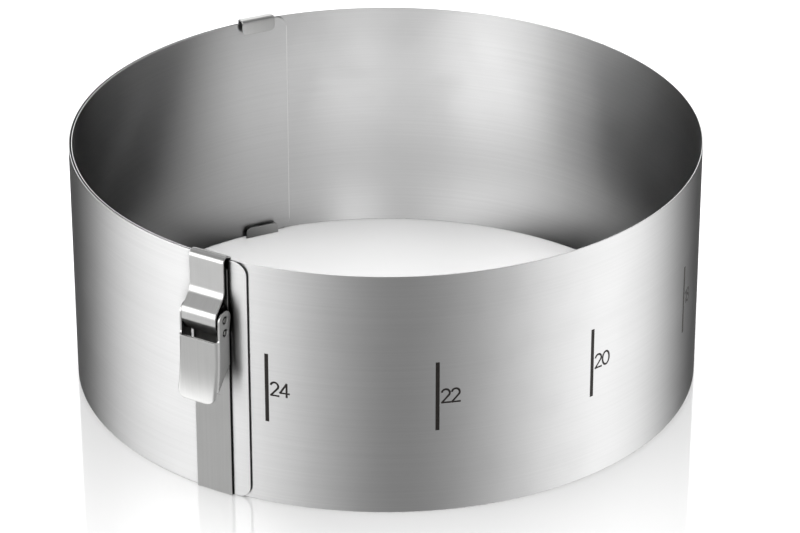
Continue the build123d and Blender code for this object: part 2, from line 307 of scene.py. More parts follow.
for number in SCALE_CENTIMETRES:
    run = pi * number * 10 * MM
    low, high = scale_middle - BAR_LENGTH / 2, scale_middle + BAR_LENGTH / 2
    columns = plain_columns(run - BAR_WIDTH / 2, run + BAR_WIDTH / 2, low, high, BAR_WIDTH / 3)
    columns[0] = (*columns[0][:3], -DIAGONAL, DIAGONAL)
    columns[-1] = (*columns[-1][:3], DIAGONAL, DIAGONAL)
    bar = plate(f"scale_bar_{number}", columns, (True, True), ink_profile, strip_carry)
    ride_with_skin(bar)
    printed.append(bar)
print("scale bars", [bar.name for bar in printed])

# %% [markdown]
# ## The scale's numbers
# The numbers are thin upright figures of even stroke. A text object would bring its own font, so
# each figure is drawn here from straight lines and arcs in a box one unit high. The strokes become
# round-bevelled curves, and their meshes are then laid on the curved strip and pressed thin.

# %% Figures drawn as strokes
FIGURE_HEIGHT = 5.4 * MM
FIGURE_GAP = 0.10
STROKE = 0.15
STROKE_PAST = 0.3 * STROKE
SAME_PLACE = 1e-6
BAR_TO_FIGURE = 0.75 * MM


def sweep(x, y, rx, ry, first, last, steps=28):
    """Points on an ellipse between two angles in degrees."""
    turns = [radians(first + (last - first) * step / steps) for step in range(steps + 1)]
    return [(x + rx * cos(turn), y + ry * sin(turn)) for turn in turns]


def straight(x0, y0, x1, y1):
    """A straight stroke, drawn a little past both ends so that joined strokes close up."""
    past = STROKE_PAST / hypot(x1 - x0, y1 - y0)
    dx, dy = (x1 - x0) * past, (y1 - y0) * past
    return [(x0 - dx, y0 - dy), (x1 + dx, y1 + dy)]


FIGURES = {
    "0": (0.62, [sweep(0.31, 0.5, 0.31, 0.5, 0, 360)]),
    "1": (0.30, [straight(0.02, 0.84, 0.26, 1.0), straight(0.26, 1.0, 0.26, 0.0)]),
    "2": (0.58, [sweep(0.28, 0.72, 0.27, 0.28, 172, -38), straight(0.49, 0.548, 0.02, 0.0),
                 straight(0.02, 0.0, 0.58, 0.0)]),
    "4": (0.64, [straight(0.46, 0.0, 0.46, 1.0), straight(0.46, 1.0, 0.0, 0.27),
                 straight(0.0, 0.27, 0.64, 0.27)]),
    "8": (0.56, [sweep(0.28, 0.76, 0.22, 0.24, 0, 360), sweep(0.28, 0.27, 0.28, 0.27, 0, 360)]),
}


def figure_mesh(text):
    """Mesh of a number in unit-high strokes, in the plane of x and y."""
    line = bpy.data.curves.new("strokes", "CURVE")
    line.dimensions = "3D"
    line.bevel_depth = STROKE / 2
    line.bevel_resolution = 2
    line.use_fill_caps = True
    pen = 0
    for figure in text:
        width, strokes = FIGURES[figure]
        for stroke in strokes:
            spline = line.splines.new("POLY")
            (x0, y0), (x1, y1) = stroke[0], stroke[-1]
            closed = hypot(x1 - x0, y1 - y0) < SAME_PLACE
            run = stroke[:-1] if closed else stroke
            spline.points.add(len(run) - 1)
            spline.use_cyclic_u = closed
            for point, (x, y) in zip(spline.points, run):
                point.co = (pen + x, y, 0, 1)
        pen += width + FIGURE_GAP
    drawn = bpy.data.objects.new("strokes", line)
    mesh = bpy.data.meshes.new_from_object(drawn)
    bpy.data.objects.remove(drawn)
    return mesh


for number in SCALE_CENTIMETRES:
    bar_run = pi * number * 10 * MM
    mesh = figure_mesh(str(number))
    for vertex in mesh.vertices:
        x, y, z = vertex.co
        run = bar_run - BAR_WIDTH / 2 - BAR_TO_FIGURE - x * FIGURE_HEIGHT
        here, _, _, outward = strip_carry(run)
        lift = half_strip + max(z, 0) / (STROKE / 2) * INK_HEIGHT
        vertex.co = here + UP * (scale_middle + (y - 0.5) * FIGURE_HEIGHT) + outward * lift
    figures = add_piece(f"scale_number_{number}", mesh)
    ride_with_skin(figures)
    printed.append(figures)
print("printed pieces", len(printed))

# %% [markdown]
# ## Folded sheets of the clamp
# The rail, the strap and the two guide clips are strips of sheet bent in a press. Their side views
# are lines with a radius at each bend. Such a line could be a curve object with rounded corners.
# Here it is split into straight runs and arcs, so that every place on it has its exact heading.

# %% A bent line
BEND_STEP = radians(6)


def bent_line(points, bends):
    """Straight runs and arcs of a bent line: start, heading, curvature and length of each."""
    parts = []
    place = Vector(points[0])
    for number in range(1, len(points)):
        before = (Vector(points[number]) - Vector(points[number - 1])).normalized()
        heading = atan2(before.y, before.x)
        turn, tangent = 0, 0
        if number < len(points) - 1:
            after = (Vector(points[number + 1]) - Vector(points[number])).normalized()
            turn = (atan2(after.y, after.x) - heading + pi) % (2 * pi) - pi
            tangent = bends[number - 1] * tan(abs(turn) / 2)
        stop = Vector(points[number]) - before * tangent
        parts.append((place, heading, 0, (stop - place).length))
        if turn:
            bend = (1 if turn > 0 else -1) / bends[number - 1]
            parts.append((stop, heading, bend, abs(turn) * bends[number - 1]))
            place = Vector(points[number]) + after * tangent
    return parts


def on_line(parts, run):
    """Place and heading at a distance along a bent line."""
    for start, heading, bend, length in parts:
        if run <= length or (start, heading, bend, length) == parts[-1]:
            if not bend:
                return start + Vector((cos(heading), sin(heading))) * run, heading
            turned = heading + bend * run
            step = Vector((sin(turned) - sin(heading), cos(heading) - cos(turned))) / bend
            return start + step, turned
        run -= length


def line_runs(parts):
    """Distances along a bent line where a column is needed."""
    runs, total = [0], 0
    for _, _, bend, length in parts:
        count = max(1, ceil(abs(bend) * length / BEND_STEP)) if bend else 1
        runs += [total + length * step / count for step in range(1, count + 1)]
        total += length
    return runs, total


print("bend step, degrees", BEND_STEP * 180 / pi)

# %% [markdown]
# The plate helper then carries a sheet along such a line, at a chosen place on the ring. The side
# view is given as (out, up): out from the strip's outer face and up from its lower edge.

# %% Sheets beside the ring
def side_carry(parts, ring_run):
    """Carry a sheet along a side view (out, up), at a place on the strip's outer face."""
    here, forward, _, outward = strip_carry(ring_run)
    foot = here + outward * half_strip + UP * STRIP_LIFT

    def carry(run):
        place, heading = on_line(parts, run)
        ahead = outward * cos(heading) + UP * sin(heading)
        left = UP * cos(heading) - outward * sin(heading)
        return foot + outward * place.x + UP * place.y, ahead, -forward, left

    return carry


def folded_sheet(name, parts, thickness, width, ring_run, corners, edge):
    """A bent sheet of even width with rounded corners at its two ends."""
    runs, total = line_runs(parts)
    half = width / 2
    columns = end_columns(0, 1, -half, half, corners[0])
    far = end_columns(total, -1, -half, half, corners[1])[::-1]
    columns += [(run, -half, half, 0, 1) for run in runs if columns[-1][0] + edge < run < far[0][0] - edge]
    profile = edge_profile(-thickness / 2, thickness / 2, edge)
    return plate(name, columns + far, (True, True), profile, side_carry(parts, ring_run))


print("side views stand on the strip's outer face, at run", CLAMP_FROM_END / MM, "mm for the clamp")

# %% [markdown]
# ## The clamp rail
# The rail is an upright strip, brushed along its length and fixed to the outer layer. At the bottom
# it folds under both layers and ends in a short lip inside, which keeps the sliding layer in place.

# %% Clamp rail
SEAT_GAP = 0.02 * MM
FOLD_INSIDE_RADIUS = 0.1 * MM
RAIL_THICKNESS = 0.8 * MM
RAIL_WIDTH = 15.2 * MM
RAIL_TOP_MARGIN = 3 * MM
RAIL_LIP_GAP = 1.2 * MM
RAIL_LIP_RISE = 2.5 * MM
RAIL_CORNER = 0.6 * MM
RAIL_EDGE = 0.15 * MM

layers_depth = LAYER_PITCH + STRIP_THICKNESS
rail_face = SEAT_GAP + RAIL_THICKNESS
rail_middle = SEAT_GAP + RAIL_THICKNESS / 2
rail_fold = RAIL_THICKNESS / 2 - STRIP_LIFT
rail_lip = -layers_depth - RAIL_LIP_GAP - RAIL_THICKNESS / 2
rail_bend = FOLD_INSIDE_RADIUS + RAIL_THICKNESS / 2
rail_line = bent_line([(rail_middle, STRIP_HEIGHT - RAIL_TOP_MARGIN), (rail_middle, rail_fold),
                       (rail_lip, rail_fold), (rail_lip, RAIL_LIP_RISE)], [rail_bend, rail_bend])
rail = folded_sheet("rail", rail_line, RAIL_THICKNESS, RAIL_WIDTH, CLAMP_FROM_END,
                    (RAIL_CORNER, RAIL_CORNER), RAIL_EDGE)
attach(rail, "clamp_end")
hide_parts("clamp_rail")
print("rail length, mm", line_runs(rail_line)[1] / MM)

# %% [markdown]
# ## The strap
# The strap pulls the two layers together. It hooks over the rim, runs down flat, swells out in a
# belly round the pivot, and ends in an eye that is rolled round the lower pin. The roll is one more
# arc at the end of its side view.

# %% Strap
STRAP_THICKNESS = 0.7 * MM
STRAP_WIDTH = 14.6 * MM
STRAP_CORNERS = (0.4 * MM, 0.2 * MM)
STRAP_EDGE = 0.14 * MM
STRAP_BENDS = (0.8 * MM, 1.4 * MM, 2.0 * MM, 5.0 * MM, 3.5 * MM, 2.0 * MM)
STRAP_BACK_GAP = 0.48 * MM
BRACKET_THICKNESS = 0.8 * MM
PIVOT_STANDOFF = 3.48 * MM
PIVOT_DROP = 22 * MM
PIN_SPACING = 5.1 * MM
PIN_HOLE = 1.05 * MM
HOOK_LIP_GAP = 0.6 * MM
HOOK_LIP_REACH = 1.1 * MM
HOOK_HEEL_RISE = 0.28 * MM
HOOK_RIDGE = (0.55 * MM, 1.75 * MM)
HOOK_SHOULDER_RISE = 0.3 * MM
KNEE_ABOVE = 8.6 * MM
BELLY_REACH = 4.4 * MM
BELLY_ABOVE = 2.6 * MM
BELLY_BELOW = 1.4 * MM
EYE_TURN = radians(293)

half_strap = STRAP_THICKNESS / 2
pivot_out = rail_face + PIVOT_STANDOFF
pivot_up = STRIP_HEIGHT - PIVOT_DROP
strap_pin_up = pivot_up - PIN_SPACING
strap_face = rail_face + BRACKET_THICKNESS + STRAP_BACK_GAP + half_strap
belly = pivot_out + BELLY_REACH - half_strap
belly_bottom = pivot_up - BELLY_BELOW
hook_lip = -layers_depth - HOOK_LIP_GAP - half_strap
eye = PIN_HOLE + half_strap
to_pin = Vector((pivot_out - belly, strap_pin_up - belly_bottom))
touch = sqrt(to_pin.length_squared - eye**2)
eye_heading = atan2(to_pin.y, to_pin.x) + atan2(eye, touch)
eye_start = Vector((belly, belly_bottom)) + touch * Vector((cos(eye_heading), sin(eye_heading)))
strap_line = bent_line([
    (hook_lip, STRIP_HEIGHT - HOOK_LIP_REACH),
    (hook_lip, STRIP_HEIGHT + HOOK_HEEL_RISE),
    (HOOK_RIDGE[0], STRIP_HEIGHT + HOOK_RIDGE[1]),
    (strap_face, STRIP_HEIGHT + HOOK_SHOULDER_RISE),
    (strap_face, pivot_up + KNEE_ABOVE),
    (belly, pivot_up + BELLY_ABOVE),
    (belly, belly_bottom),
    tuple(eye_start),
], STRAP_BENDS)
strap_line.append((eye_start, eye_heading, -1 / eye, EYE_TURN * eye))
strap = folded_sheet("strap_plate", strap_line, STRAP_THICKNESS, STRAP_WIDTH, CLAMP_FROM_END,
                     STRAP_CORNERS, STRAP_EDGE)
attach(strap, "strap")
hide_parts("strap")
print("strap length, mm", line_runs(strap_line)[1] / MM)

# %% [markdown]
# ## The guide clips
# Two small clips sit on the outer layer at the back, one over the upper edge and one under the
# lower edge. The sliding layer runs between each clip's lip and the outer layer. Both are the same
# folded sheet, so one loop bends them from their own heights.

# %% Guide clips
CLIP_THICKNESS = 0.7 * MM
CLIP_WIDTH = 14.4 * MM
CLIP_FROM_END = 274 * MM
CLIP_CORNER = 2 * MM
CLIP_EDGE = 0.12 * MM
CLIP_LEG = 7 * MM
CLIP_LIP = 4.4 * MM
CLIP_LIP_GAP = 1.7 * MM
CLIP_TOP_CLEARANCE = 1 * MM
UPPER_BEND = 1 * MM

clip_leg = SEAT_GAP + CLIP_THICKNESS / 2
clip_lip = -layers_depth - CLIP_LIP_GAP - CLIP_THICKNESS / 2
over_rim = STRIP_HEIGHT + CLIP_TOP_CLEARANCE + CLIP_THICKNESS / 2
under_edge = CLIP_THICKNESS / 2 - STRIP_LIFT
lower_bend = FOLD_INSIDE_RADIUS + CLIP_THICKNESS / 2
clip_shapes = {
    "upper": (STRIP_HEIGHT - CLIP_LEG, over_rim, STRIP_HEIGHT - CLIP_LIP, UPPER_BEND),
    "lower": (CLIP_LEG, under_edge, CLIP_LIP, lower_bend),
}
clips = []
for side, (leg_end, fold, lip_end, bend) in clip_shapes.items():
    line = bent_line([(clip_leg, leg_end), (clip_leg, fold), (clip_lip, fold), (clip_lip, lip_end)],
                     [bend, bend])
    clip = folded_sheet(f"{side}_clip", line, CLIP_THICKNESS, CLIP_WIDTH, CLIP_FROM_END,
                        (CLIP_CORNER, CLIP_CORNER), CLIP_EDGE)
    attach(clip, frame["nodes"][f"{side}_guide_clip"]["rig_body"])
    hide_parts(f"{side}_guide_clip")
    clips.append(clip)
print("clips", [clip.name for clip in clips])

# %% [markdown]
# ## The lever, the bracket and the pins
# These are thicker formed pieces whose solids already have the right shape: the lever is a U channel
# that flares out at its tip. Real pressed parts have no razor edges, so each gets a copy of its
# solid's mesh that is welded, cleaned of needless lines and bevelled by about a tenth of a millimetre.
# Its normals follow the broad faces, because plain smooth shading would tilt them towards the bevels
# and leave dark bands on the flats.

# %% Bevelled copies of the formed pieces
WELD = 0.002 * MM
FLAT_ANGLE = radians(0.2)
EDGE_ANGLE = radians(34)
LEVER_EDGE = 0.13 * MM
BRACKET_EDGE = 0.1 * MM
PIN_EDGE = 0.05 * MM


def broad_normals(mesh):
    """Smooth normals in which the broad faces outweigh the narrow bevels beside them."""
    faces_at = [[] for _ in mesh.vertices]
    for face in mesh.polygons:
        for corner in face.vertices:
            faces_at[corner].append(face)
    normals = []
    for face in mesh.polygons:
        for corner in face.vertices:
            near = [other for other in faces_at[corner] if other.normal.dot(face.normal) > cos(EDGE_ANGLE)]
            normals.append(sum((other.normal * other.area for other in near), Vector()).normalized())
    return normals


def bevelled_copy(node, name, edge):
    """A copy of a solid's mesh with softened edges and a chart for the grain."""
    mesh = frame["nodes"][node].data.copy()
    mesh.name = name
    shape = bmesh.new()
    shape.from_mesh(mesh)
    bmesh.ops.remove_doubles(shape, verts=shape.verts, dist=WELD)
    bmesh.ops.dissolve_limit(shape, angle_limit=FLAT_ANGLE, verts=shape.verts, edges=shape.edges)
    crisp = [e for e in shape.edges if len(e.link_faces) == 2 and e.calc_face_angle(0) > EDGE_ANGLE]
    bmesh.ops.bevel(shape, geom=crisp, offset=edge, offset_type="OFFSET", segments=2, profile=0.5,
                    affect="EDGES", clamp_overlap=False)
    shape.to_mesh(mesh)
    shape.free()
    for layer in list(mesh.uv_layers):
        mesh.uv_layers.remove(layer)
    chart = mesh.uv_layers.new(name="grain")
    for loop in mesh.loops:
        x, y, z = mesh.vertices[loop.vertex_index].co
        chart.data[loop.index].uv = (z * CHART_SCALE, (x + y) * CHART_SCALE)
    mesh.polygons.foreach_set("use_smooth", [True] * len(mesh.polygons))
    mesh.normals_split_custom_set(broad_normals(mesh))
    piece = add_piece(name, mesh)
    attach(piece, frame["nodes"][node]["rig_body"])
    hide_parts(node)
    return piece


lever = bevelled_copy("lever", "lever_handle", LEVER_EDGE)
bracket = bevelled_copy("pivot_bracket", "bracket", BRACKET_EDGE)
pins = [bevelled_copy("pivot_pin", "upper_pin", PIN_EDGE), bevelled_copy("strap_pin", "lower_pin", PIN_EDGE)]
print("lever points", len(lever.data.vertices))

# %% [markdown]
# ## Recipes from nodes
# Finishes and light are both built from nodes. A few small functions make what every recipe needs: a
# new material, a new node group, a value that follows another value, and a mix of two colours. So
# each recipe below stays short and shows what is special about its finish.

# %% Helpers for nodes
MIDDLE_GREY = (0.5, 0.5, 0.5)


def new_material(name):
    """A material with its nodes, its links and its main shader."""
    material = bpy.data.materials.new(name)
    material.use_nodes = True
    tree = material.node_tree
    return material, tree.nodes, tree.links, tree.nodes["Principled BSDF"]


def new_group(name, inputs, outputs):
    """A node group with its sockets and their nodes. An input without a number is a vector."""
    group = bpy.data.node_groups.new(name, "ShaderNodeTree")
    for label, number in inputs.items():
        kind = "NodeSocketVector" if number is None else "NodeSocketFloat"
        socket = group.interface.new_socket(label, in_out="INPUT", socket_type=kind)
        if number is not None:
            socket.default_value = number
    for label in outputs:
        group.interface.new_socket(label, in_out="OUTPUT", socket_type="NodeSocketFloat")
    nodes = group.nodes
    return group, nodes, group.links, nodes.new("NodeGroupInput"), nodes.new("NodeGroupOutput")


def follow(nodes, links, value, start, end, low=0.0, high=1.0, kind="LINEAR"):
    """A value that goes from low to high while another goes from start to end."""
    node = nodes.new("ShaderNodeMapRange")
    node.interpolation_type = kind
    for label, number in (("From Min", start), ("From Max", end), ("To Min", low), ("To Max", high)):
        node.inputs[label].default_value = number
    links.new(value, node.inputs["Value"])
    return node.outputs["Result"]


def soft_step(nodes, links, value, start, end, low=0.0, high=1.0):
    """The same with a soft start and a soft end."""
    return follow(nodes, links, value, start, end, low, high, "SMOOTHSTEP")


def mix_colours(nodes, links, share, first=MIDDLE_GREY, second=MIDDLE_GREY):
    """A mix of two colours, by a share that varies."""
    node = nodes.new("ShaderNodeMix")
    node.data_type = "RGBA"
    node.inputs["A"].default_value = (*first, 1)
    node.inputs["B"].default_value = (*second, 1)
    links.new(share, node.inputs["Factor"])
    return node


print("node helpers", [f.__name__ for f in (new_material, new_group, follow, soft_step, mix_colours)])

# %% [markdown]
# ## Brushed steel
# The sheets are brushed: fine scratches run along each of them, so a highlight spreads across them.
# The scratches could be modelled as lines, but a noise stretched along the sheet gives thousands of
# them at once. It is built once as a node group, and each steel gives it its own length and width.

# %% Node group for the grain
STREAKS = (("Height", 2.0, 2.0), ("Tone", 0.5, 4.0))  # output, fineness and detail of each noise
STREAK_ROUGHNESS = 0.65


def brushed_grain_group():
    """Streaks along U: a fine height for the bump and a broad tone for roughness and colour."""
    inputs = {"Chart": None, "Along": 1.0, "Across": 60.0}
    group, nodes, links, given, result = new_group("brushed_grain", inputs, ("Height", "Tone"))
    scale = nodes.new("ShaderNodeCombineXYZ")
    links.new(given.outputs["Along"], scale.inputs["X"])
    links.new(given.outputs["Across"], scale.inputs["Y"])
    stretch = nodes.new("ShaderNodeVectorMath")
    stretch.operation = "MULTIPLY"
    links.new(given.outputs["Chart"], stretch.inputs[0])
    links.new(scale.outputs[0], stretch.inputs[1])
    for output, fineness, detail in STREAKS:
        streaks = nodes.new("ShaderNodeTexNoise")
        streaks.noise_dimensions = "2D"
        streaks.inputs["Scale"].default_value = fineness
        streaks.inputs["Detail"].default_value = detail
        streaks.inputs["Roughness"].default_value = STREAK_ROUGHNESS
        links.new(stretch.outputs[0], streaks.inputs["Vector"])
        links.new(streaks.outputs["Fac"], result.inputs[output])
    return group


brushed_grain = brushed_grain_group()
print("group", brushed_grain.name, [item.name for item in brushed_grain.interface.items_tree])

# %% [markdown]
# Handled steel also carries faint smudges. They are soft patches that are a little rougher than the
# rest. They could be painted, but a second group makes them for every steel from a broad noise.

# %% Node group for smudges
SMUDGE_DETAIL = 4.0
SMUDGE_STEP = (0.42, 0.68)


def smudges_group():
    """A soft patchy mask from a broad noise."""
    group, nodes, links, given, result = new_group("smudges", {"Chart": None, "Size": 3.0}, ("Mask",))
    broad = nodes.new("ShaderNodeTexNoise")
    broad.inputs["Detail"].default_value = SMUDGE_DETAIL
    links.new(given.outputs["Chart"], broad.inputs["Vector"])
    links.new(given.outputs["Size"], broad.inputs["Scale"])
    links.new(soft_step(nodes, links, broad.outputs["Fac"], *SMUDGE_STEP), result.inputs["Mask"])
    return group


smudges = smudges_group()
print("group", smudges.name, [item.name for item in smudges.interface.items_tree])

# %% [markdown]
# The clamp's sheets lie close together, and the narrow gaps between them look nearly black. The
# render's own shadows are weak on mirror-like steel, so a third group paints shade into the colour of
# what lies within a short reach of another surface. Each steel sets that reach, and how much open sky
# a gap may have left when it is at its darkest. Of the strip, only the part beside the clamp uses it,
# where it also paints the clamp's shadow on the strip.

# %% Node group for painted shade in gaps
CREVICE_SHADE = 0.08
CLOSED_GAP = 0.45
OPEN_SKY = 0.92


def crevices_group():
    """A painted shade, from dark in narrow gaps to 1 in the open."""
    inputs = {"Reach": 5 * MM, "Closed": CLOSED_GAP}
    group, nodes, links, given, result = new_group("painted_gap_shade", inputs, ("Shade",))
    sky = nodes.new("ShaderNodeAmbientOcclusion")
    links.new(given.outputs["Reach"], sky.inputs["Distance"])
    shade = follow(nodes, links, sky.outputs["AO"], CLOSED_GAP, OPEN_SKY, CREVICE_SHADE)
    links.new(given.outputs["Closed"], shade.node.inputs["From Min"])
    links.new(shade, result.inputs["Shade"])
    return group


painted_gap_shade = crevices_group()
print("group", painted_gap_shade.name, [item.name for item in painted_gap_shade.interface.items_tree])

# %% [markdown]
# ## The steels
# One function makes every steel, because all are the same metal with another brush. The strip has a
# satin brush along its length, which gives the ring its soft upright bands of light. Beside the clamp
# it is the same steel with painted shade in its gaps and a painted shadow of the clamp. The clamp's
# sheets are brushed upright and more coarsely, so their flats look darker and only their bends shine.
# The lever is a little smoother than the strap, the clips are smoother still, the rail is the dullest,
# and the pins are turned, so their finish has no direction. All steels but the plain strip take
# painted shade in their gaps.

# %% Steel materials
EDGE_TINT = (0.10, 0.10, 0.10)
QUARTER_TURN = 0.25
GRAIN_TONES = (0.3, 0.7)
GRAIN_SWING = 0.015
SMUDGE_SWING = 0.02
SCRATCH_DEPTH = 0.02 * MM


def steel(name, base, dark, rough, directional=0.92, along=3.0, across=200.0, bump=0.05, smudge_size=12.0,
          gap_shade_reach=0.0, closed=CLOSED_GAP):
    """A brushed steel: grain and smudges vary its colour, roughness and bump; a reach adds painted shade in
    gaps.
    """
    material, nodes, links, shader = new_material(name)
    shader.inputs["Metallic"].default_value = 1.0
    shader.inputs["Specular Tint"].default_value = (*EDGE_TINT, 1)
    shader.inputs["Anisotropic"].default_value = directional
    shader.inputs["Anisotropic Rotation"].default_value = QUARTER_TURN
    chart = nodes.new("ShaderNodeUVMap")
    chart.uv_map = "grain"
    grain = nodes.new("ShaderNodeGroup")
    grain.node_tree = brushed_grain
    grain.inputs["Along"].default_value = along
    grain.inputs["Across"].default_value = across
    links.new(chart.outputs["UV"], grain.inputs["Chart"])
    marks = nodes.new("ShaderNodeGroup")
    marks.node_tree = smudges
    marks.inputs["Size"].default_value = smudge_size
    links.new(chart.outputs["UV"], marks.inputs["Chart"])
    tone = mix_colours(nodes, links, grain.outputs["Tone"], dark, base)
    links.new(tone.outputs["Result"], shader.inputs["Base Color"])
    # Painted shade: the colour is darkened in narrow gaps, where shade falls.
    if gap_shade_reach:
        gaps = nodes.new("ShaderNodeGroup")
        gaps.node_tree = painted_gap_shade
        gaps.inputs["Reach"].default_value = gap_shade_reach
        gaps.inputs["Closed"].default_value = closed
        shaded = nodes.new("ShaderNodeMix")
        shaded.data_type = "RGBA"
        shaded.blend_type = "MULTIPLY"
        shaded.inputs["Factor"].default_value = 1.0
        links.new(tone.outputs["Result"], shaded.inputs["A"])
        links.new(gaps.outputs["Shade"], shaded.inputs["B"])
        links.new(shaded.outputs["Result"], shader.inputs["Base Color"])
    swing = (rough - GRAIN_SWING, rough + GRAIN_SWING)
    worn = follow(nodes, links, grain.outputs["Tone"], *GRAIN_TONES, *swing)
    smudged = nodes.new("ShaderNodeMath")
    smudged.operation = "MULTIPLY_ADD"
    smudged.inputs[1].default_value = SMUDGE_SWING
    links.new(marks.outputs["Mask"], smudged.inputs[0])
    links.new(worn, smudged.inputs[2])
    links.new(smudged.outputs[0], shader.inputs["Roughness"])
    scratches = nodes.new("ShaderNodeBump")
    scratches.inputs["Strength"].default_value = bump
    scratches.inputs["Distance"].default_value = SCRATCH_DEPTH
    links.new(grain.outputs["Height"], scratches.inputs["Height"])
    links.new(scratches.outputs["Normal"], shader.inputs["Normal"])
    if directional:
        lay = nodes.new("ShaderNodeTangent")
        lay.direction_type = "UV_MAP"
        lay.uv_map = "grain"
        links.new(lay.outputs["Tangent"], shader.inputs["Tangent"])
    return material


strip_brush = dict(base=(0.66, 0.66, 0.66), dark=(0.58, 0.58, 0.58), rough=0.30, directional=0.8,
                   along=1.8, across=220.0, bump=0.03, smudge_size=5.0)
band_steel = steel("band_steel", **strip_brush)
# The strip beside the clamp: the same steel with painted shade in its gaps and a painted shadow of the clamp.
shaded_steel = steel("band_steel_painted_shade", **strip_brush, gap_shade_reach=9 * MM)
clamp_steel = steel("clamp_steel", (0.66, 0.66, 0.655), (0.56, 0.56, 0.555), 0.40, gap_shade_reach=5 * MM)
clip_steel = steel("clip_steel", (0.56, 0.56, 0.555), (0.48, 0.48, 0.475), 0.30, directional=0.5,
                   gap_shade_reach=1 * MM)
lever_steel = steel("lever_steel", (0.51, 0.51, 0.505), (0.43, 0.43, 0.425), 0.34, gap_shade_reach=5 * MM)
rail_steel = steel("rail_steel", (0.52, 0.52, 0.515), (0.43, 0.43, 0.425), 0.42, along=2.0, across=240.0,
                   smudge_size=9.0, gap_shade_reach=4 * MM, closed=0.7)
pin_steel = steel("pin_steel", (0.42, 0.42, 0.41), (0.32, 0.32, 0.31), 0.28, directional=0.0, along=40.0,
                  across=60.0, bump=0.1, smudge_size=30.0, gap_shade_reach=1 * MM)
print("steels", [m.name for m in (band_steel, clamp_steel, clip_steel, lever_steel, rail_steel, pin_steel)])

# %% [markdown]
# The strip's inner end is cut and ground. Its narrow border is given a pale, partly matt colour, a
# painted highlight that shows as a light line down the inside of the ring. It could be a bevel of
# its own, but a second material on the end's outermost faces is enough.

# %% Ground edge with a painted highlight
GROUND_AND_HIGHLIGHT_METAL = 0.4
GROUND_AND_HIGHLIGHT_TONES = ((0.72, 0.72, 0.71), (0.84, 0.84, 0.83))
SPECKLE_FINENESS = 3000.0


def matt_edge():
    """Steel along a cut, painted pale and matt as a highlight line, with a fine speckle."""
    material, nodes, links, shader = new_material("ground_edge_and_highlight")
    shader.inputs["Metallic"].default_value = GROUND_AND_HIGHLIGHT_METAL
    place = nodes.new("ShaderNodeTexCoord")
    speckle = nodes.new("ShaderNodeTexNoise")
    speckle.inputs["Scale"].default_value = SPECKLE_FINENESS
    links.new(place.outputs["Object"], speckle.inputs["Vector"])
    tone = mix_colours(nodes, links, speckle.outputs["Fac"], *GROUND_AND_HIGHLIGHT_TONES)
    links.new(tone.outputs["Result"], shader.inputs["Base Color"])
    links.new(speckle.outputs["Fac"], shader.inputs["Roughness"])
    return material


ground_edge_and_highlight = matt_edge()
print("border", ground_edge_and_highlight.name, "width, mm", GROUND_AND_HIGHLIGHT_BORDER / MM)

# %% [markdown]
# Now every piece gets its steel. The strip's two pieces beside the clamp are done after the rest of
# the strip, and the inner end's border comes last.

# %% Steel on the pieces
def finish_in(pieces, material):
    """Give pieces a material."""
    for piece in pieces:
        piece.data.materials.clear()
        piece.data.materials.append(material)


finish_in(strip_skins, band_steel)
# The strip's pieces beside the clamp take the steel with painted shade and the clamp's painted shadow.
finish_in([strip_outer_end, strip_skins[0]], shaded_steel)
# The inner end's border takes the pale edge, a painted highlight line.
strip_inner_end.data.materials.append(ground_edge_and_highlight)
inner_chart = strip_inner_end.data.uv_layers["grain"].data
border_start = STRIP_LENGTH - GROUND_AND_HIGHLIGHT_BORDER
for face in strip_inner_end.data.polygons:
    if min(inner_chart[loop].uv.x for loop in face.loop_indices) > border_start * CHART_SCALE:
        face.material_index = 1
finish_in([strap], clamp_steel)
finish_in(clips, clip_steel)
finish_in([lever], lever_steel)
finish_in([rail, bracket], rail_steel)
finish_in(pins, pin_steel)
print("border faces", sum(face.material_index for face in strip_inner_end.data.polygons))

# %% [markdown]
# ## The print
# The scale is printed in a warm near-black, a little glossy, with a faint mottle where the ink is
# thinner. One noise in object space drives both its colour and its roughness.

# %% Scale ink
MOTTLE_FINENESS = 900.0
MOTTLE_DETAIL = 3.0
INK_TONES = ((0.006, 0.005, 0.004), (0.018, 0.014, 0.012))
INK_GLOSS = 0.25
INK_ROUGHNESS = (0.35, 0.6)


def ink():
    """Printed near-black with a faint mottle."""
    material, nodes, links, shader = new_material("scale_ink")
    shader.inputs["Specular IOR Level"].default_value = INK_GLOSS
    place = nodes.new("ShaderNodeTexCoord")
    mottle = nodes.new("ShaderNodeTexNoise")
    mottle.inputs["Scale"].default_value = MOTTLE_FINENESS
    mottle.inputs["Detail"].default_value = MOTTLE_DETAIL
    links.new(place.outputs["Object"], mottle.inputs["Vector"])
    colour = mix_colours(nodes, links, mottle.outputs["Fac"], *INK_TONES)
    links.new(colour.outputs["Result"], shader.inputs["Base Color"])
    gloss = follow(nodes, links, mottle.outputs["Fac"], 0.0, 1.0, *INK_ROUGHNESS)
    links.new(gloss, shader.inputs["Roughness"])
    return material


scale_ink = ink()
finish_in(printed, scale_ink)
print("ink on", len(printed), "pieces")

# %% [markdown]
# ## Floor
# The ring stands on a glossy white board that mirrors it faintly. The board could be a plane, but a
# large round disc has no corner that shows from any side. It lies just below the strip's lower edge
# and takes in the two thin folds that reach lower, so that no light leaks under the strip. Its colour
# is painted a little darker right beside the steel, as a shadow where hardly any light gets in. Steel
# this smooth would mirror all of it, so the board is kept out of the steel's reflections and out of
# the painted shade of its gaps. What the ring mirrors is made in the next steps.

# %% Board
FLOOR_RADIUS = 6.0
FLOOR_LEVEL = STRIP_LIFT - 0.05 * MM
CONTACT_REACH = 2.5 * MM
CONTACT_CLOSED = 0.6
CONTACT_SHADE = 0.9
BOARD_TONE = 0.55
BOARD_ROUGHNESS = 0.04
BOARD_IOR = 1.7

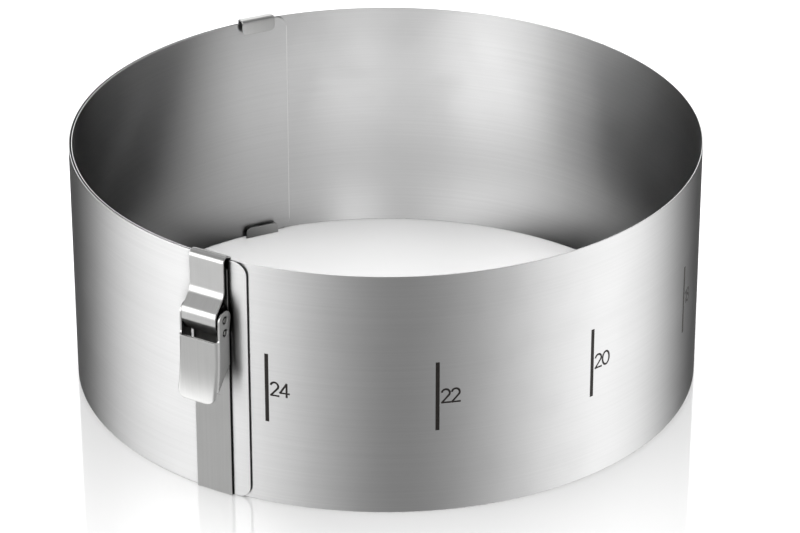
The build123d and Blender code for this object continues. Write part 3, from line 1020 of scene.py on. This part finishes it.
ring_axis = Vector((*knuckles[0].xy, 0)) - strip_carry(ARC_LENGTH)[3] / arc_bend(0)
floor_middle = ring_axis + FLOOR_LEVEL * UP


def floor_disc(name, radius, drop=0.0, steps=192):
    """A flat round disc about the ring's axis, level with the board or a little lower."""
    turns = [2 * pi * step / steps for step in range(steps)]
    rim = [floor_middle + Vector((radius * cos(turn), radius * sin(turn), -drop)) for turn in turns]
    mesh = bpy.data.meshes.new(name)
    mesh.from_pydata(rim, [], [list(range(steps))])
    board = add_piece(name, mesh)
    return board


def board_material():
    """A white board with a clear gloss and a painted shadow where something nearly touches it."""
    material, nodes, links, shader = new_material("board")
    # Painted shadow: the board's colour is darker where the steel nearly touches it.
    near = nodes.new("ShaderNodeAmbientOcclusion")
    near.inputs["Distance"].default_value = CONTACT_REACH
    tones = (BOARD_TONE * CONTACT_SHADE, BOARD_TONE)
    contact = follow(nodes, links, near.outputs["AO"], CONTACT_CLOSED, 1.0, *tones)
    links.new(contact, shader.inputs["Base Color"])
    shader.inputs["Roughness"].default_value = BOARD_ROUGHNESS
    shader.inputs["IOR"].default_value = BOARD_IOR
    return material


floor = floor_disc("floor", FLOOR_RADIUS)
floor.visible_glossy = False
floor.visible_shadow = False
floor.data.materials.append(board_material())
print("ring axis, mm", ring_axis / MM)

# %% [markdown]
# ## Values for light
# The glow inside the ring and the studio round it are both drawn with a few simple values: soft steps
# between two heights or distances, sums and products, and ramps of light over an angle. Painted
# pictures could do the same. Values stay soft at any size and need no files.

# %% Helpers for light
def combine(nodes, links, operation, first, second=None):
    """A sum, product or other joining of two values."""
    node = nodes.new("ShaderNodeMath")
    node.operation = operation
    links.new(first, node.inputs[0])
    if second is not None:
        links.new(second, node.inputs[1])
    return node.outputs[0]


def measure(nodes, links, operation, place, other):
    """A distance from a point, or a length along a direction."""
    node = nodes.new("ShaderNodeVectorMath")
    node.operation = operation
    node.inputs[1].default_value = other
    links.new(place, node.inputs[0])
    return node.outputs["Value"]


def light_ramp(nodes, links, angle, stops, half_turn):
    """A soft ramp of light over an angle, from stops in degrees."""
    node = nodes.new("ShaderNodeValToRGB")
    ramp = node.color_ramp
    ramp.interpolation = "EASE"
    while len(ramp.elements) < len(stops):
        ramp.elements.new(0.5)
    for element, (degrees, _) in zip(ramp.elements, stops):
        element.position = (degrees + half_turn) / (2 * half_turn)
    for element, (_, light) in zip(ramp.elements, stops):
        element.color = (light, light, light, 1)
    share = follow(nodes, links, angle, radians(-half_turn), radians(half_turn))
    links.new(share, node.inputs["Fac"])
    return node.outputs["Color"]


print("light helpers", [f.__name__ for f in (combine, measure, light_ramp)])

# %% [markdown]
# ## Light inside the ring
# The inner wall mirrors the board inside the ring, which is bright in the middle and dim towards the
# sides. A glowing disc just under the board gives that light, and only rays that were mirrored once
# see it. The back wall gathers light at a point half way from it to the axis, so bands that spread
# from that point become upright bands on the wall. A second, weaker light fades out towards both
# sides of the disc. Only steel close by sees it, at its foot.

# %% Glow under the board
CAMERA_AZIMUTH = radians(31.4)
GLOW_DROP = 0.3 * MM
GLOW_EDGE = (-0.08, 0.25)  # this pair and the other shares are of the ring's radius
GLOW_RISE = (-1.10, 0.0)
GLOW_POWER = (2.0, 0.85)
GLOW_BANDS = ((-90, 0.8), (-60, 1.05), (-30, 0.92), (-14, 1.25), (6, 0.9), (45, 1.8), (66, 1.6),
              (76, 0.55), (90, 0.7))
BAND_START = (0.10, 0.30)
FOOT_REACH = (30 * MM, 90 * MM)
FOOT_WIDTH = (0.05, 0.60)
FOOT_POWER = 0.9
FIRST_MIRROR = (1.2, 1.8)

ring_radius = RING_DIAMETER / 2


def radii(shares):
    """Lengths from shares of the ring's radius."""
    return [share * ring_radius for share in shares]


def glow_material():
    """Light that the inner wall mirrors once: bands from a point before it, up to a soft line."""
    material, nodes, links, shader = new_material("board_glow")
    nodes.remove(shader)
    right = Vector((cos(CAMERA_AZIMUTH), sin(CAMERA_AZIMUTH), 0))
    away = Vector((-sin(CAMERA_AZIMUTH), cos(CAMERA_AZIMUTH), 0))
    place = nodes.new("ShaderNodeTexCoord")
    from_focus = nodes.new("ShaderNodeVectorMath")
    from_focus.operation = "SUBTRACT"
    from_focus.inputs[1].default_value = floor_middle + away * ring_radius / 2
    links.new(place.outputs["Object"], from_focus.inputs[0])
    spot = from_focus.outputs["Vector"]
    sideways = measure(nodes, links, "DOT_PRODUCT", spot, right)
    backwards = measure(nodes, links, "DOT_PRODUCT", spot, away)
    slope = combine(nodes, links, "DIVIDE", sideways, backwards)
    from_middle = measure(nodes, links, "DISTANCE", spot, (0, 0, 0))
    angle = combine(nodes, links, "ARCTANGENT", slope)
    bands = nodes.new("ShaderNodeMix")
    bands.inputs["A"].default_value = 1.0
    links.new(soft_step(nodes, links, from_middle, *radii(BAND_START)), bands.inputs["Factor"])
    links.new(light_ramp(nodes, links, angle, GLOW_BANDS, 90), bands.inputs["B"])
    rays = nodes.new("ShaderNodeLightPath")
    edge = soft_step(nodes, links, backwards, *radii(GLOW_EDGE), 1.0, 0.0)
    rise = soft_step(nodes, links, backwards, *radii(GLOW_RISE), *GLOW_POWER)
    lit = combine(nodes, links, "MULTIPLY", edge, rise)
    aside = combine(nodes, links, "ABSOLUTE", sideways)
    width = soft_step(nodes, links, aside, *radii(FOOT_WIDTH), FOOT_POWER, 0.0)
    close_by = soft_step(nodes, links, rays.outputs["Ray Length"], *FOOT_REACH, 1.0, 0.0)
    foot = combine(nodes, links, "MULTIPLY", width, close_by)
    first = soft_step(nodes, links, rays.outputs["Glossy Depth"], *FIRST_MIRROR, 1.0, 0.0)
    brightest = combine(nodes, links, "MAXIMUM", lit, foot)
    glow = combine(nodes, links, "MULTIPLY", brightest, bands.outputs["Result"])
    light = nodes.new("ShaderNodeEmission")
    links.new(combine(nodes, links, "MULTIPLY", glow, first), light.inputs["Strength"])
    links.new(light.outputs["Emission"], nodes["Material Output"].inputs["Surface"])
    return material


inside_glow = floor_disc("inside_glow", ring_radius, GLOW_DROP)
inside_glow.visible_camera = False
inside_glow.visible_diffuse = False
inside_glow.visible_shadow = False
inside_glow.data.materials.append(glow_material())
print("glow inside, radius in mm", ring_radius / MM)

# %% [markdown]
# ## Studio light
# The photograph's ring was lit by large soft panels left and right, with darker flags between them.
# Seen from above, the upright outer wall mirrors what lies below the horizon, while the bends, the
# lever's tip and the board mirror what lies above it. So the world has two rows of soft panels, low
# and high, each a ramp round the compass, with a grey ceiling, a bright patch overhead and a dark pit
# below. Directions are counted from the camera, positive to its right, and the high panels behind the
# ring are the white backdrop that the board mirrors. Only the camera's own mirrored rays see all
# this. All other light comes from a white tent that is brighter overhead.

# %% World with soft panels
LOW_PANELS = ((-180, 0.0), (-150, 0.17), (-95, 0.33), (-45, 0.33), (5, 0.12), (88, 0.53), (150, 0.18),
              (180, 0.0))
HIGH_PANELS = ((-170, 0.9), (-155, 0.0), (-130, 0.1), (-70, 1.6), (-20, 0.1), (30, 0.1), (90, 0.4),
               (155, 0.0), (170, 0.9))
PANEL_POWER = 3.4
CEILING_SHARE = 0.12
OVERHEAD = 5.5
PIT = 0.01
WALL_HEIGHTS = (-0.30, 0.05)  # heights are the upward parts of a direction, from -1 to 1
CEILING_HEIGHTS = (0.45, 0.64)
OVERHEAD_HEIGHTS = (0.93, 0.985)
PIT_HEIGHTS = (-0.80, -0.55)
TENT_HEIGHTS = (0.6, 0.9)
TENT_POWER = (1.4, 4.5)
FIRST_BOUNCE = (0.2, 0.8)


def height_mix(nodes, links, height, low, high):
    """A mix that changes softly between two heights of the world's direction."""
    return mix_colours(nodes, links, soft_step(nodes, links, height, low, high))


def studio_world():
    """Two rows of soft panels under a grey ceiling, for gloss, and a white tent for the rest."""
    world = bpy.data.worlds.new("studio")
    world.use_nodes = True
    world.cycles.sampling_method = "NONE"
    nodes, links = world.node_tree.nodes, world.node_tree.links
    backdrop = nodes["Background"]
    where = nodes.new("ShaderNodeTexCoord")
    turned = nodes.new("ShaderNodeVectorRotate")
    turned.rotation_type = "Z_AXIS"
    turned.inputs["Angle"].default_value = -CAMERA_AZIMUTH
    links.new(where.outputs["Generated"], turned.inputs["Vector"])
    parts = nodes.new("ShaderNodeSeparateXYZ")
    links.new(turned.outputs["Vector"], parts.inputs["Vector"])
    towards = nodes.new("ShaderNodeMath")
    towards.operation = "MULTIPLY"
    towards.inputs[1].default_value = -1.0
    links.new(parts.outputs["Y"], towards.inputs[0])
    compass = combine(nodes, links, "ARCTAN2", parts.outputs["X"], towards.outputs[0])
    height = parts.outputs["Z"]
    walls = height_mix(nodes, links, height, *WALL_HEIGHTS)
    links.new(light_ramp(nodes, links, compass, LOW_PANELS, 180), walls.inputs["A"])
    links.new(light_ramp(nodes, links, compass, HIGH_PANELS, 180), walls.inputs["B"])
    overhead = height_mix(nodes, links, height, *OVERHEAD_HEIGHTS)
    overhead.inputs["B"].default_value = (OVERHEAD, OVERHEAD, OVERHEAD, 1)
    pit = height_mix(nodes, links, height, *PIT_HEIGHTS)
    pit.inputs["A"].default_value = (PIT, PIT, PIT, 1)
    links.new(walls.outputs["Result"], pit.inputs["B"])
    links.new(pit.outputs["Result"], overhead.inputs["A"])
    links.new(overhead.outputs["Result"], backdrop.inputs["Color"])
    ceiling = soft_step(nodes, links, height, *CEILING_HEIGHTS, PANEL_POWER, PANEL_POWER * CEILING_SHARE)
    links.new(ceiling, backdrop.inputs["Strength"])
    tent = nodes.new("ShaderNodeBackground")
    links.new(soft_step(nodes, links, height, *TENT_HEIGHTS, *TENT_POWER), tent.inputs["Strength"])
    rays = nodes.new("ShaderNodeLightPath")
    seen = nodes.new("ShaderNodeMixShader")
    direct = soft_step(nodes, links, rays.outputs["Diffuse Depth"], *FIRST_BOUNCE, 1.0, 0.0)
    links.new(combine(nodes, links, "MULTIPLY", rays.outputs["Is Glossy Ray"], direct), seen.inputs["Fac"])
    links.new(tent.outputs["Background"], seen.inputs[1])
    links.new(backdrop.outputs["Background"], seen.inputs[2])
    links.new(seen.outputs["Shader"], nodes["World Output"].inputs["Surface"])
    return world


bpy.context.scene.world = studio_world()
bpy.context.scene.view_settings.view_transform = "Standard"
print("panels", len(LOW_PANELS), "low and", len(HIGH_PANELS), "high")

# %% [markdown]
# The tall ring keeps some of the tent's light off the board inside it. A weak lamp straight above
# makes up for that. It could be a larger area light, but a spot can be narrowed to the ring's inside.

# %% Overhead lamp
LAMP_POWER = 7.0
LAMP_HEIGHT = 1.0
LAMP_REACH = 135 * MM
LAMP_RADIUS = 10 * MM
LAMP_SOFTNESS = 0.5


def overhead_lamp():
    """A soft round lamp straight above, which lights the board inside the ring."""
    data = bpy.data.lights.new("overhead_lamp", "SPOT")
    data.energy = LAMP_POWER
    data.spot_size = 2 * atan2(LAMP_REACH, LAMP_HEIGHT)
    data.spot_blend = LAMP_SOFTNESS
    data.shadow_soft_size = LAMP_RADIUS
    lamp = add_piece("overhead_lamp", data)
    lamp.location = ring_axis + LAMP_HEIGHT * UP
    lamp.visible_glossy = False
    return lamp


print("lamp at", overhead_lamp().location)

# %% [markdown]
# ## Camera
# The camera stands a little to the right of the clamp and looks down at the ring with a long lens.
# It is aimed just below and beside the ring's middle, as the photograph is framed. A shifted lens
# would hold the ring's sides more upright. A plain one shows every side of the ring in the same way.

# %% Camera
CAMERA_HEIGHT_ANGLE = radians(26.85)
CAMERA_DISTANCE = 1452 * MM
FOCAL_LENGTH = 167.8
SENSOR_WIDTH = 36
AIM_RIGHT = 5.06 * MM
AIM_DOWN = 9.28 * MM

ring_middle = ring_axis + UP * (strip_low + strip_high) / 2
level = Vector((sin(CAMERA_AZIMUTH), -cos(CAMERA_AZIMUTH), 0))
towards_camera = level * cos(CAMERA_HEIGHT_ANGLE) + UP * sin(CAMERA_HEIGHT_ANGLE)
to_the_right = Vector((cos(CAMERA_AZIMUTH), sin(CAMERA_AZIMUTH), 0))
camera_data = bpy.data.cameras.new("photo_camera")
camera_data.lens = FOCAL_LENGTH
camera_data.sensor_width = SENSOR_WIDTH
camera = add_piece("photo_camera", camera_data)
camera.location = ring_middle + CAMERA_DISTANCE * towards_camera
aim = ring_middle + AIM_RIGHT * to_the_right - AIM_DOWN * UP
camera.rotation_euler = (aim - camera.location).to_track_quat("-Z", "Y").to_euler()
bpy.context.scene.camera = camera
print("camera at", camera.location)
